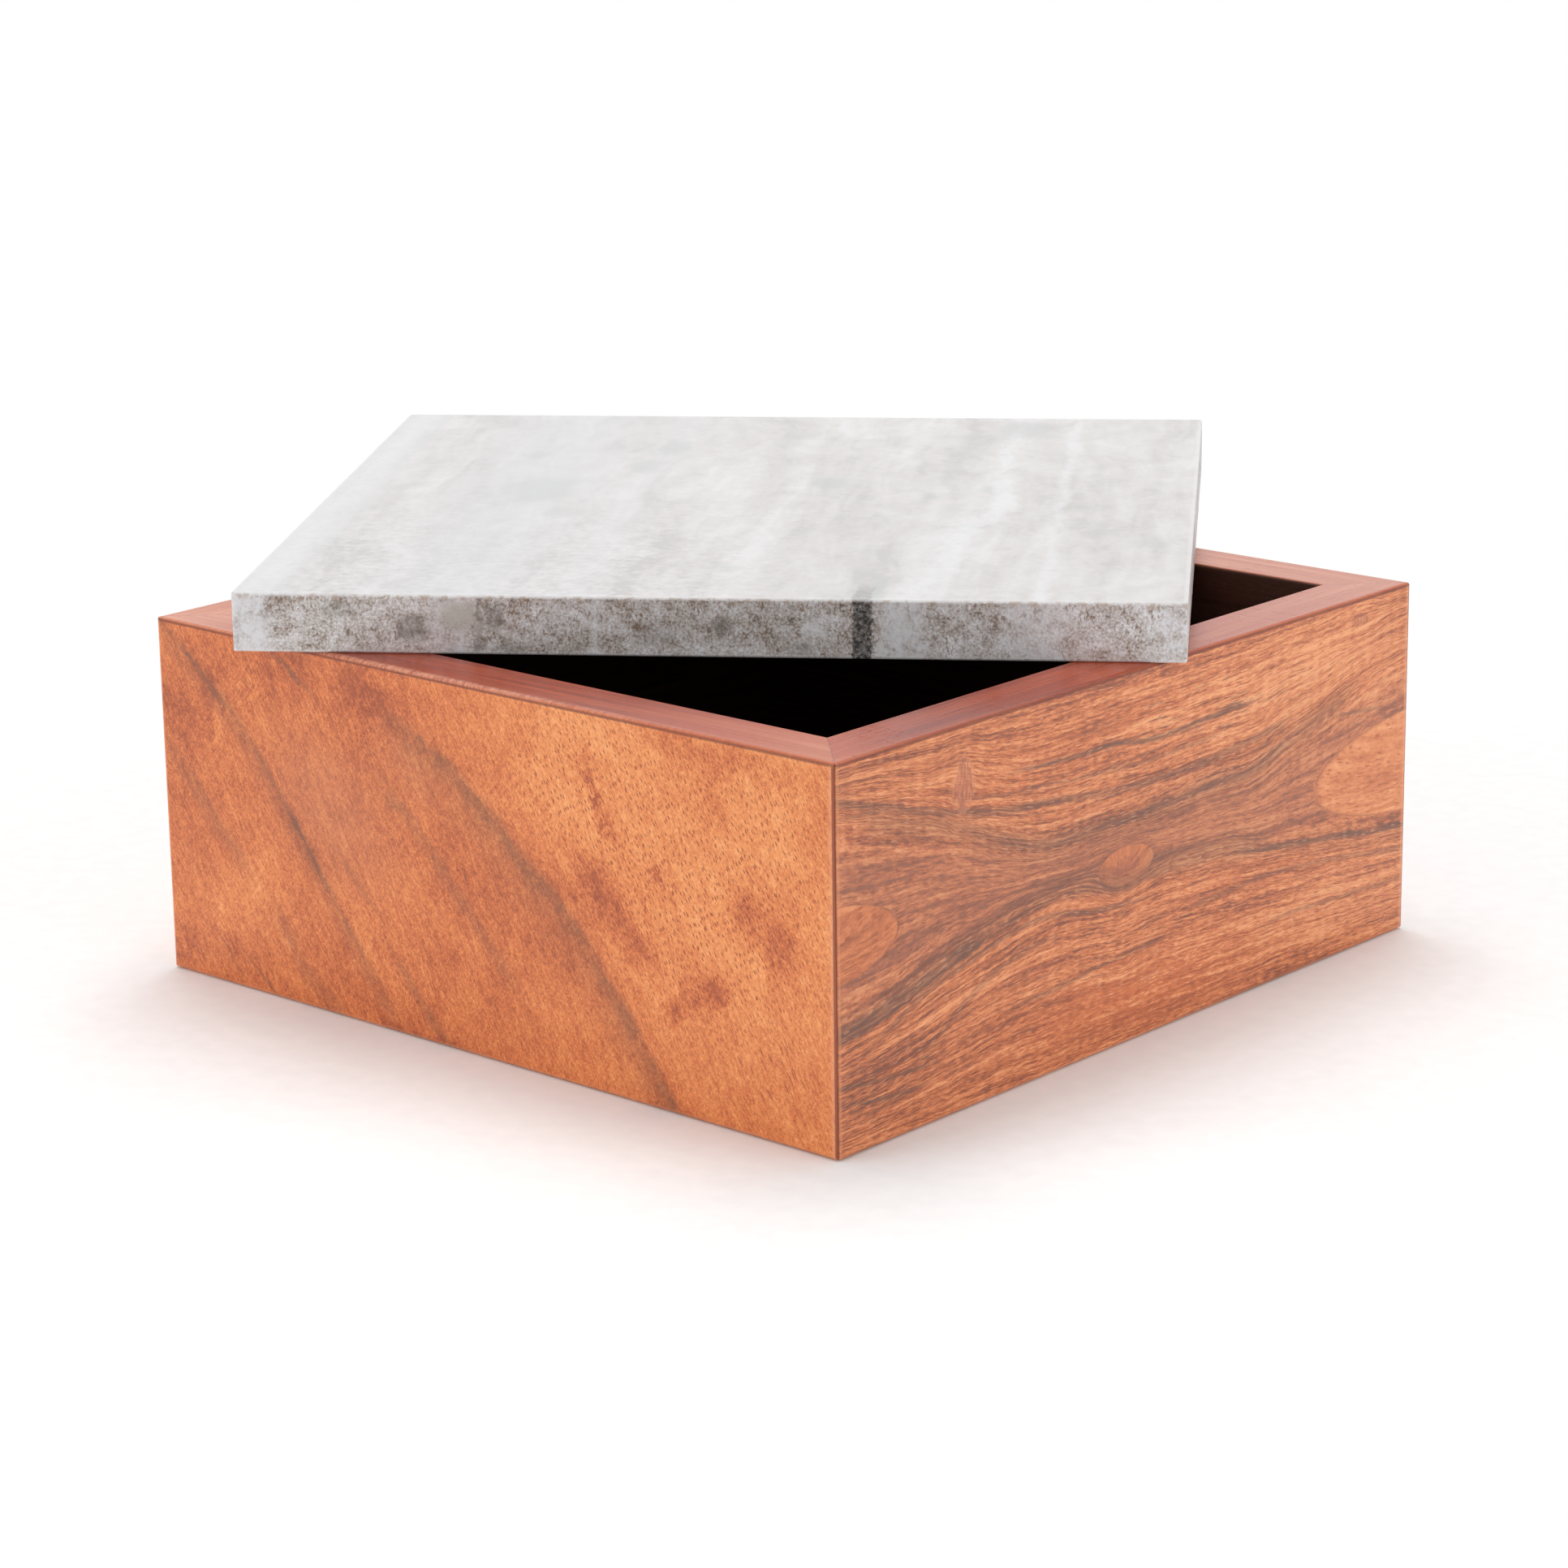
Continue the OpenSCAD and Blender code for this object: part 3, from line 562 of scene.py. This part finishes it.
def streaked_board(name, quarter, seed, figure):
    """Fine, soft-figured wood with dark diagonal streaks."""
    g = Graph(name)
    p, u, d, z = board_frame(g, quarter)
    sway = g.line(g.noise(p, (11, 11, 11), 2, 0.5, shift=seed), 0.25, 0.75, -0.9, 0.9)
    jag = g.line(g.noise(p, (1.5, 1.5, 1.5), 3, 0.65, shift=seed + 5), 0.25, 0.75, -0.7, 0.7)
    zw = g.total(z, sway, jag)
    curves = {}
    streaks = 0.0
    for points, below, above, strength, start, end, widen in figure["lines"]:
        if id(points) not in curves:
            curves[id(points)] = g.math("SUBTRACT", zw, g.curve(u, points))
        line = streak(g, u, curves[id(points)], below, above, strength, start, end, widen)
        streaks = g.highest(line, streaks)
    patchy = g.line(g.noise(p, (3.4, 3.4, 3.4), 4, 0.7, shift=seed + 7), 0.34, 0.62, 0.50, 1.22)
    speckle = g.noise(p, (0.36, 0.36, 0.36), 3, 0.7, 0.2, shift=seed + 29)
    dark = g.product(streaks, patchy, g.line(speckle, 0.34, 0.66, 1.25, 0.75))
    # The field past the main streak is lighter
    past = curves[id(figure["main"])]
    field = g.product(g.step(past, -1.0, 12.0), g.step(u, *figure["field"]),
                      g.line(z, 0, 34, 0.5, 1.0))
    cloud = g.noise(p, (15, 15, 15), 3, 0.55, 0.4, shift=seed + 11)
    steep = g.place(p, turn=(0, -PORE_TURN, 0))
    mottle = g.noise(steep, (6, 2.0, 1.3), 4, 0.64, 0.5, shift=seed + 23)
    # The marks have ragged outlines
    tear = 2.8
    torn_u, torn_z = (g.total(value, g.line(g.noise(p, (4, 4, 4), 4, 0.7, shift=seed + shift),
                                            0.25, 0.75, -tear, tear))
                      for value, shift in ((u, 41), (z, 43)))
    ragged = g.add("CombineXYZ", {0: torn_u, 1: d, 2: torn_z})
    tilted = g.place(p, turn=(0, -50, 0))
    ripple = g.noise(tilted, (3.2, 0.9, 0.62), 3, 0.6, 0.3, shift=seed + 27)
    rippled = g.math("MINIMUM", clouds(g, p, figure["ripples"]), 1.0)
    level = g.noise(p, (16, 0.5, 0.32), 3, 0.6, 0.1, shift=seed + 31)
    stipple = g.noise(steep, (1.3, 0.5, 0.30), 3, 0.65, 0.0, shift=seed + 33)
    value = g.total(g.product(cloud, 0.34), g.product(mottle, 0.50),
                    g.product(g.math("SUBTRACT", ripple, 0.5), g.line(rippled, 0, 1, 0.26, 0.70)),
                    g.product(speckle, 0.70), g.product(g.math("SUBTRACT", level, 0.5), 0.14),
                    g.product(g.math("SUBTRACT", stipple, 0.5), 0.62),
                    clouds(g, ragged, figure["marks"]), g.product(field, 0.18), -0.265)
    colour = g.ramp(value, STREAKED_RAMP)
    dull = g.math("MINIMUM", clouds(g, p, figure["dull"]), 1.0)
    colour = g.paint(g.product(dull, 0.30), colour, STREAKED_DULL)
    colour = g.paint(dark, colour, STREAKED_DARK)
    # Pores: short and dense in some places, longer strokes in others
    dense = g.math("MINIMUM", clouds(g, p, figure["fine_pores"]), 1.0)
    short = g.product(g.ticks(u, z, (1.8, 0.62), 1.0, 0.28, PORE_TURN, seed + 2),
                      g.line(dense, 0, 1, 0.16, 1.0))
    strokes = g.product(g.ticks(u, z, (5.2, 0.8), 0.95, 0.26, PORE_TURN, seed + 4),
                        g.math("MINIMUM", clouds(g, p, figure["strokes"]), 1.0))
    pores = g.highest(short, strokes)
    colour = g.paint(g.product(pores, 0.80), colour, PORE)
    height = g.product(speckle, 0.12)
    return finish_board(g, (p, u, d, z), colour, height, seed, figure)


def flowing_board(name, quarter, seed, figure):
    """Flat-sawn wood whose grain flows along two main lines and round its knots."""
    g = Graph(name)
    p, u, d, z = board_frame(g, quarter)
    wobble = g.total(g.line(g.noise(p, (30, 9, 9), 2, 0.5, shift=seed), 0.2, 0.8, -0.55, 0.55),
                     g.line(g.noise(p, (4, 1.2, 1.2), 3, 0.6, shift=seed + 19), 0.2, 0.8,
                            -0.22, 0.22))
    zw = g.total(z, wobble)
    upper = g.curve(u, figure["upper"])
    lower = g.curve(u, figure["lower"])
    # The grain bends round the knots and the scar
    scar_u, scar_z = figure["scar"]
    bent = zw
    for ku, kz, ru, rz, pull in [*figure["knots"], (scar_u, scar_z, 9, 10, 0.40)]:
        near = g.blob(p, ku, kz, ru, rz)
        bent = g.math("SUBTRACT", bent, g.product(near, g.math("SUBTRACT", zw, kz), pull))
    # s goes up across the grain, in about millimetres: as far as the lower line, from there to
    # the upper one, and over it
    under = g.math("DIVIDE", bent, lower, clamp=True)
    between = g.math("DIVIDE", g.math("SUBTRACT", bent, lower), g.math("SUBTRACT", upper, lower),
                     clamp=True)
    over = g.math("DIVIDE", g.math("SUBTRACT", bent, upper), g.math("SUBTRACT", RIM, upper),
                  clamp=True)
    s = g.total(g.product(under, 28), g.product(between, 15), g.product(over, 24))
    # Inside an eye the grain bows a little along its outline
    eye_start = 80
    calm = 0.0
    for ku, kz, ru, rz, _, rings in figure["eyes"]:
        near = g.nearness(p, (ku, 0, kz), (0, 0, 0), (ru, THROUGH, rz))
        inner = g.step(near, 0.0, 0.02)
        s = g.total(g.product(s, g.rest(inner)),
                    g.product(inner, g.total(g.line(near, 0, 1, eye_start, eye_start + rings),
                                             g.product(zw, 0.55))))
        calm = g.highest(inner, calm)
    flow = g.add("CombineXYZ", {0: u, 1: d, 2: s})
    broad = g.noise(flow, (60, 5, 2.2), 3, 0.5, 0.0, shift=seed + 1)
    middle = g.noise(flow, (22, 2, 0.7), 3, 0.6, 0.0, shift=seed + 2)
    fine = g.noise(flow, (6.5, 0.6, 0.30), 4, 0.68, 0.05, shift=seed + 3)
    crumb = g.noise(flow, (1.6, 0.5, 0.36), 3, 0.65, 0.1, shift=seed + 4)
    marks = clouds(g, p, figure["marks"])
    grain = g.total(g.product(broad, 0.66), g.product(middle, 1.00), g.product(fine, 1.20),
                    g.product(crumb, 1.00), -1.93)
    value = g.total(g.product(grain, g.line(calm, 0, 1, 1.0, 0.5)), g.product(marks, 1.2),
                    g.line(u, 0, SIDE, -0.03, 0.03), 0.51)
    eye_edge = 0.0
    for ku, kz, ru, rz, weight, _ in figure["eyes"]:
        inner = g.blob(p, ku, kz, ru, rz, 0, 1.0, 1.03, 0.93)
        rim_light = g.product(inner, g.blob(p, ku, kz, ru, rz, 0, 0.07, 0.72, 0.98))
        value = g.total(value, g.product(inner, weight), rim_light,
                        g.blob(p, ku, kz, ru * 1.16, rz * 1.2, 0, -0.05, 1.1, 0.9))
        eye_edge = g.highest(inner, eye_edge)
    colour = g.ramp(value, FLOWING_RAMP)
    warm = g.product(clouds(g, p, figure["warm"]), g.step(value, 0.78, 0.60))
    colour = g.paint(warm, colour, FLOWING_WARM)
    # Between the two lines the wood is duller
    dull = g.product(g.step(between, 0.0, 0.25), g.step(between, 1.0, 0.75), g.rest(eye_edge))
    colour = g.paint(g.product(dull, 0.34), colour, FLOWING_DULL)
    offs = {"upper": g.math("SUBTRACT", zw, upper), "lower": g.math("SUBTRACT", zw, lower)}
    bands = 0.0
    for points, below, above, strength, start, end in figure["lines"]:
        if isinstance(points, str):
            off = offs[points]
        else:
            off = g.math("SUBTRACT", zw, g.curve(u, points))
        bands = g.highest(streak(g, u, off, below, above, strength, start, end), bands)
    torn = g.line(g.total(g.product(middle, 0.4), g.product(fine, 0.6)), 0.38, 0.60, 1.15, 0.60)
    dashes = g.step(g.noise(flow, (11, 1.4, 0.5), 3, 0.6, 0.1, shift=seed + 6), 0.565, 0.635)
    dashes = g.product(dashes, g.line(clouds(g, p, figure["dash_places"]), 0.0, 1.0, 0.10, 0.80),
                       g.rest(g.product(eye_edge, 0.8)))
    dark = g.highest(g.product(bands, torn), dashes)
    colour = g.paint(g.math("MINIMUM", dark, 0.90), colour, FLOWING_DARK)
    pores = g.ticks(u, s, (3.0, 0.30), 0.7, 0.30, 0.0, seed + 5)
    colour = g.paint(g.product(pores, 0.42), colour, PORE)
    flecks = g.product(g.ticks(u, s, (3.0, 0.42), 0.60, 0.32, 0.0, seed + 7),
                       g.step(dull, 0.6, 0.2), g.rest(eye_edge))
    colour = g.paint(g.product(flecks, 0.32), colour, FLECK)
    # Knots: a light ring round a darker heart
    upright = g.noise(p, (0.45, 2, 1.6), 3, 0.6, 0.3, shift=seed + 12)
    for ku, kz, scale, ringed in figure["hearts"]:
        ragged = g.total(g.line(fine, 0.3, 0.7, -0.16, 0.16),
                         g.line(upright, 0.3, 0.7, -0.10, 0.10))
        placed = g.place(p, (ku, 0, kz), (0, 0, 0), (6.4 * scale, THROUGH, 3.2 * scale))
        far = g.total(g.add("VectorMath", {0: placed}, output="Value", operation="LENGTH"), ragged)
        ring = g.product(g.step(far, 0.98, 0.80), g.step(far, 0.48, 0.66), 0.40 * ringed)
        colour = g.paint(ring, colour, KNOT_RING)
        halo = g.product(g.step(far, 1.30, 1.12), g.step(far, 0.90, 1.06), 0.42 * ringed)
        colour = g.paint(halo, colour, KNOT_HALO)
        heart = g.product(g.step(far, 0.62, 0.40), g.line(upright, 0.42, 0.58, 0.75, 0.25))
        colour = g.paint(heart, colour, KNOT_HEART)
    # The scar: an upright spindle with a light edge
    spindle = g.total(g.product(g.gap(u, scar_u), 0.40),
                      g.math("POWER", g.product(g.gap(z, scar_z), 0.21), 1.5),
                      g.line(upright, 0.3, 0.7, -0.30, 0.30))
    outside = g.step(d, 3, 1)
    scar = g.product(g.step(spindle, 1.1, 0.8), outside)
    edge = g.product(g.step(spindle, 1.3, 1.05), g.step(spindle, 0.85, 1.05), outside)
    colour = g.paint(g.product(scar, 0.7), colour, g.ramp(upright, SCAR_RAMP))
    colour = g.paint(g.product(edge, 0.35), colour, SCAR_EDGE)
    height = g.total(g.product(pores, -0.3), g.product(fine, 0.4))
    return finish_board(g, (p, u, d, z), colour, height, seed, figure)


def marble_material():
    """A pale honed top with bands that run from front to back, and speckled sawn edges."""
    g = Graph("marble_grey")
    where = g.add("TexCoord", {}, output="Object")
    corner = LID_MIDDLE + Matrix.Rotation(LID_TURN, 3, "Z") @ Vector((-LID_HALF, -LID_HALF, 0))
    p = g.place(where, corner, (0, 0, math.degrees(LID_TURN)), (MILLIMETRE,) * 3)
    a, b, c = g.parts(p)
    drift = g.line(g.noise(p, (26, 50, 12), 3, 0.55, 0.5, shift=4), 0.2, 0.8, -5, 5)
    wave = g.total(a, drift)
    bands = g.noise(g.add("CombineXYZ", {0: wave, 1: b, 2: c}), (9, 120, 30), 4, 0.62, 0.2, shift=8)
    crystal = g.noise(p, (1.7, 1.7, 1.7), 4, 0.6, 0.3, shift=12)
    patches = g.noise(p, (6, 10, 5), 4, 0.6, 0.6, shift=14)
    grit = g.noise(p, (0.45, 0.45, 0.45), 3, 0.65, 0.2, shift=16)
    jag = g.line(g.noise(p, (3, 5, 3), 4, 0.65, shift=21), 0.3, 0.7, -1.2, 1.2)
    small_jag = g.line(g.noise(p, (0.7, 0.9, 0.7), 3, 0.65, shift=23), 0.3, 0.7, -0.35, 0.35)
    aw = g.total(a, jag)
    jagged = g.add("CombineXYZ", {0: aw, 1: g.total(b, jag), 2: c})

    def within(value, low, high, soft):
        """1 for a value between low and high."""
        return g.product(g.step(value, low - soft, low + soft),
                         g.step(value, high + soft, high - soft))

    def spot(middle, reach):
        """1 in the middle of an ellipsoid, and 0 from its surface outwards."""
        return g.step(g.nearness(jagged, middle, (0, 0, 0), reach), 0.0, 0.65)

    # Top: pale, more mottled towards the front left, with grey spots and white bands
    mottled = g.product(g.step(b, 95, 5), g.step(g.gap(a, 36), 62, 20))
    top_value = g.total(g.product(bands, 0.78), g.product(patches, 0.42),
                        g.product(g.math("SUBTRACT", crystal, 0.5),
                                  g.line(mottled, 0, 1, 0.30, 0.85)), -0.10)
    top = g.ramp(top_value, MARBLE_RAMP)
    cool = g.highest(within(aw, -4, 9, 3), g.product(within(aw, 52, 60, 4), 0.5),
                     g.product(within(aw, 22, 48, 10), 0.8))
    top = g.paint(g.product(cool, 0.55), top, MARBLE_COOL)
    greys = 0.0
    for middle_a, middle_b, reach_a, reach_b, weight in GREY_SPOTS:
        near = spot((middle_a, middle_b, LID_THICKNESS), (reach_a, reach_b, THROUGH))
        greys = g.highest(g.product(near, weight), greys)
    top = g.paint(g.product(greys, 0.62), top, MARBLE_GREY)
    wander = g.curve(b, WHITE_BAND, (0, 160), (0, 160))
    from_band = g.gap(g.total(aw, g.product(jag, 0.8)), wander)
    half_band = g.line(b, 0, 100, 5.5, 2.0)
    white = g.highest(g.product(g.step(from_band, half_band, 0.2), g.step(b, 150, 120), 0.70),
                      g.product(g.step(g.gap(aw, 132.5), 1.6, 0.2), 0.45),
                      g.product(g.step(g.gap(aw, 4), 5, 0.5), 0.5))
    top = g.paint(g.product(white, g.line(crystal, 0.35, 0.6, 0.5, 1.0)), top, MARBLE_WHITE)

    # Sawn edges: speckled grey and brown, with pale, green and dark patches on the front one
    side_value = g.total(g.product(patches, 0.70), g.product(crystal, 0.70), g.product(grit, 1.15),
                         -0.755, g.product(g.step(a, 108, 122), 0.06))
    side = g.ramp(side_value, SAWN_RAMP)
    grains = g.step(g.noise(p, (0.55, 0.55, 1.1), 3, 0.6, 0.4, shift=33), 0.53, 0.60)
    grain_places = g.total(g.noise(p, (5, 5, 4), 3, 0.6, shift=35), g.line(c, 4, 10, -0.03, 0.07))
    browns = g.product(grains, g.line(grain_places, 0.44, 0.62, 0.08, 0.85))
    side = g.paint(browns, side, SAWN_BROWN)
    front = g.step(b, 14, 6)
    pale = g.product(spot((96, 0, 5), (2.2, EDGE_REACH, 1.8)), 0.9)
    for low, high, soft, weight in PALE_BANDS:
        pale = g.highest(g.product(within(aw, low, high, soft), weight), pale)
    side = g.paint(g.product(pale, front, g.line(crystal, 0.36, 0.6, 0.35, 0.95)), side, SAWN_PALE)
    green = g.product(spot((38, 0, 6.3), (4.5, EDGE_REACH, 3.4)), front)
    side = g.paint(g.product(green, 0.75), side, SAWN_GREEN)
    dim = g.product(within(aw, 40.6, 41.6, 0.5), 0.8)
    for middle_a, middle_c, reach_a, reach_c, weight in DIM_SPOTS:
        near = spot((middle_a, 0, middle_c), (reach_a, EDGE_REACH, reach_c))
        dim = g.highest(g.product(near, weight), dim)
    side = g.paint(g.product(dim, front, g.line(crystal, 0.35, 0.62, 0.95, 0.5)), side, SAWN_DIM)
    under_top = g.math("SUBTRACT", LID_THICKNESS, c)
    on_top = g.step(under_top, 0.6, 0.15)
    colour = g.paint(on_top, side, top)

    # Arrises: a thin ground line, pale partly by its own colour and partly as painted highlight,
    # with brown spots along the upper one at the front
    ends = g.math("MINIMUM", g.math("MINIMUM", a, g.math("SUBTRACT", LID_SIDE, a)),
                  g.math("MINIMUM", b, g.math("SUBTRACT", LID_SIDE, b)))
    ground_and_highlight = g.highest(g.product(g.step(c, 0.75, 0.25), 0.7),
                       g.product(g.step(under_top, 0.8, 0.4), g.step(ends, 0.9, 0.5), 0.5))
    colour = g.paint(g.product(ground_and_highlight, g.line(grit, 0.35, 0.6, 0.5, 1.0)), colour, GROUND_LINE_AND_HIGHLIGHT)
    arris = g.product(g.step(under_top, 1.6, 0.6), g.step(under_top, 0.0, 0.3), g.step(b, 3, 1),
                      g.step(g.noise(p, (1.6, 1.6, 2), 3, 0.6, shift=41), 0.50, 0.60))
    colour = g.paint(g.product(arris, 0.55), colour, BROWN_SPOT)

    # The black vein at the front, fainter on the top
    av = g.total(a, g.product(jag, 0.45), small_jag)
    broken = g.noise(p, (0.55, 1.0, 0.55), 3, 0.65, shift=25)
    vein = g.product(within(av, 102.2, 105.3, 0.3), g.step(b, 14, 3),
                     g.line(broken, 0.40, 0.62, 1.0, 0.50))
    colour = g.paint(g.product(vein, g.line(on_top, 0, 1, 0.97, 0.4)), colour, BLACK_VEIN)
    honed = g.total(g.product(crystal, 0.2), g.product(on_top, -0.3))
    roughness = g.line(honed, -0.3, 0.2, 0.24, 0.6)
    height = g.total(g.product(crystal, 0.35), g.product(grit, g.line(on_top, 0, 1, 0.6, 0.1)))
    return g.finish(colour, roughness, height)


def plain_wood(name, light, dark, seed):
    """Straight-grained wood without a figure."""
    g = Graph(name)
    where = g.add("TexCoord", {}, output="Object")
    p = g.place(where, size=(MILLIMETRE,) * 3)
    fine = g.noise(p, (40, 0.9, 0.9), 4, 0.6, 0.3, shift=seed)
    colour = g.paint(g.step(fine, 0.35, 0.65), dark, light)
    return g.finish(colour, g.line(fine, 0.3, 0.7, 0.55, 0.7), fine)


MATERIALS = {
    "front_board": streaked_board("wood_front", 0, 0.0, FRONT),
    "right_board": flowing_board("wood_right", 1, 0.0, RIGHT),
    "back_board": flowing_board("wood_back", 2, 50.0, BACK),
    "left_board": streaked_board("wood_left", 3, 70.0, LEFT),
    # The panel's top is the floor inside the box: its dark colour is painted shade
    "base_panel": plain_wood("wood_panel_in_painted_shade", *PANEL_IN_PAINTED_SHADE, 5.0),
    "marble_lid": marble_material(),
}
spline_wood = plain_wood("wood_spline", *SPLINE_WOOD, 8.0)
for name, node in frame["nodes"].items():
    material = MATERIALS.get(name, spline_wood)
    node.data.materials.clear()
    node.data.materials.append(material)


def floor():
    """A pale floor that keeps the object's shadow and turns to plain white further out."""
    g = Graph("stage_floor")
    half = 4.0
    top = -0.0001
    shadow_end, white_start = 0.14, 0.36
    mesh = bpy.data.meshes.new("stage_floor")
    mesh.from_pydata([(-half, -half, top), (half, -half, top), (half, half, top),
                      (-half, half, top)], [], [(0, 1, 2, 3)])
    plane = bpy.data.objects.new("stage_floor", mesh)
    bpy.context.scene.collection.objects.link(plane)
    where = g.add("TexCoord", {}, output="Object")
    far = g.add("VectorMath", {0: where}, output="Value", operation="LENGTH")
    path = g.tree.nodes.new("ShaderNodeLightPath")
    seen = g.highest(path.outputs["Is Camera Ray"], path.outputs["Is Glossy Ray"],
                     path.outputs["Is Transmission Ray"])
    share = g.product(g.step(far, shadow_end, white_start), seen)
    grit = g.noise(where, (0.004, 0.004, 0.004), 2)
    lit = g.add("BsdfDiffuse", {"Color": g.ramp(grit, FLOOR_RAMP)})
    white = g.add("Emission", {"Color": WHITE, "Strength": 1.0})
    g.add_output(g.add("MixShader", {0: share, 1: lit, 2: white}))
    mesh.materials.append(g.material)


def world(strength):
    """Even light of that strength, which the camera and gloss see as white."""
    made = bpy.data.worlds.new("studio")
    bpy.context.scene.world = made
    made.use_nodes = True
    tree = made.node_tree
    tree.nodes.clear()
    path = tree.nodes.new("ShaderNodeLightPath")
    seen = None
    for name in ("Is Camera Ray", "Is Glossy Ray", "Is Transmission Ray"):
        if seen is None:
            seen = path.outputs[name]
            continue
        both = tree.nodes.new("ShaderNodeMath")
        both.operation = "MAXIMUM"
        tree.links.new(seen, both.inputs[0])
        tree.links.new(path.outputs[name], both.inputs[1])
        seen = both.outputs[0]
    light, white = (tree.nodes.new("ShaderNodeBackground") for _ in range(2))
    light.inputs["Color"].default_value = WHITE
    light.inputs["Strength"].default_value = strength
    white.inputs["Color"].default_value = WHITE
    white.inputs["Strength"].default_value = 1.0
    mixed = tree.nodes.new("ShaderNodeMixShader")
    tree.links.new(seen, mixed.inputs[0])
    tree.links.new(light.outputs[0], mixed.inputs[1])
    tree.links.new(white.outputs[0], mixed.inputs[2])
    out = tree.nodes.new("ShaderNodeOutputWorld")
    tree.links.new(mixed.outputs[0], out.inputs["Surface"])


def lamp(name, place, size, power):
    """A large soft lamp that points at the box. It isn't mirrored: gloss shows the white studio."""
    data = bpy.data.lights.new(name, "AREA")
    data.shape = "SQUARE"
    data.size = size
    data.energy = power
    made = bpy.data.objects.new(name, data)
    made.visible_glossy = False
    made.location = place
    aim = Vector((0, 0, 0.04)) - Vector(place)
    made.rotation_euler = aim.to_track_quat("-Z", "Y").to_euler()
    bpy.context.scene.collection.objects.link(made)


def camera():
    """The photograph's view, fitted to the corners of the box and the lid."""
    data = bpy.data.cameras.new("photo_view")
    data.sensor_width = 36.0
    data.lens = 99.92
    data.clip_start = 0.01
    made = bpy.data.objects.new("photo_view", data)
    place = (0.48216, -0.54388, 0.23195)
    forward = Vector((-0.64029, 0.71980, -0.26816))
    right = Vector((0.74959, 0.66176, -0.01351))
    up = right.cross(forward)
    turn = Matrix((right, up, -forward)).transposed()
    made.matrix_world = Matrix.Translation(place) @ turn.to_4x4()
    bpy.context.scene.collection.objects.link(made)
    bpy.context.scene.camera = made


floor()
world(0.42)
lamp("lamp_top", (-0.20, 0.22, 1.15), 0.8, 9.0)
lamp("lamp_left", (-0.5, -1.1, 0.35), 0.9, 7.6)
lamp("lamp_right", (1.1, 0.2, 0.35), 0.9, 6.1)
camera()

bpy.context.scene.view_settings.view_transform = "Standard"
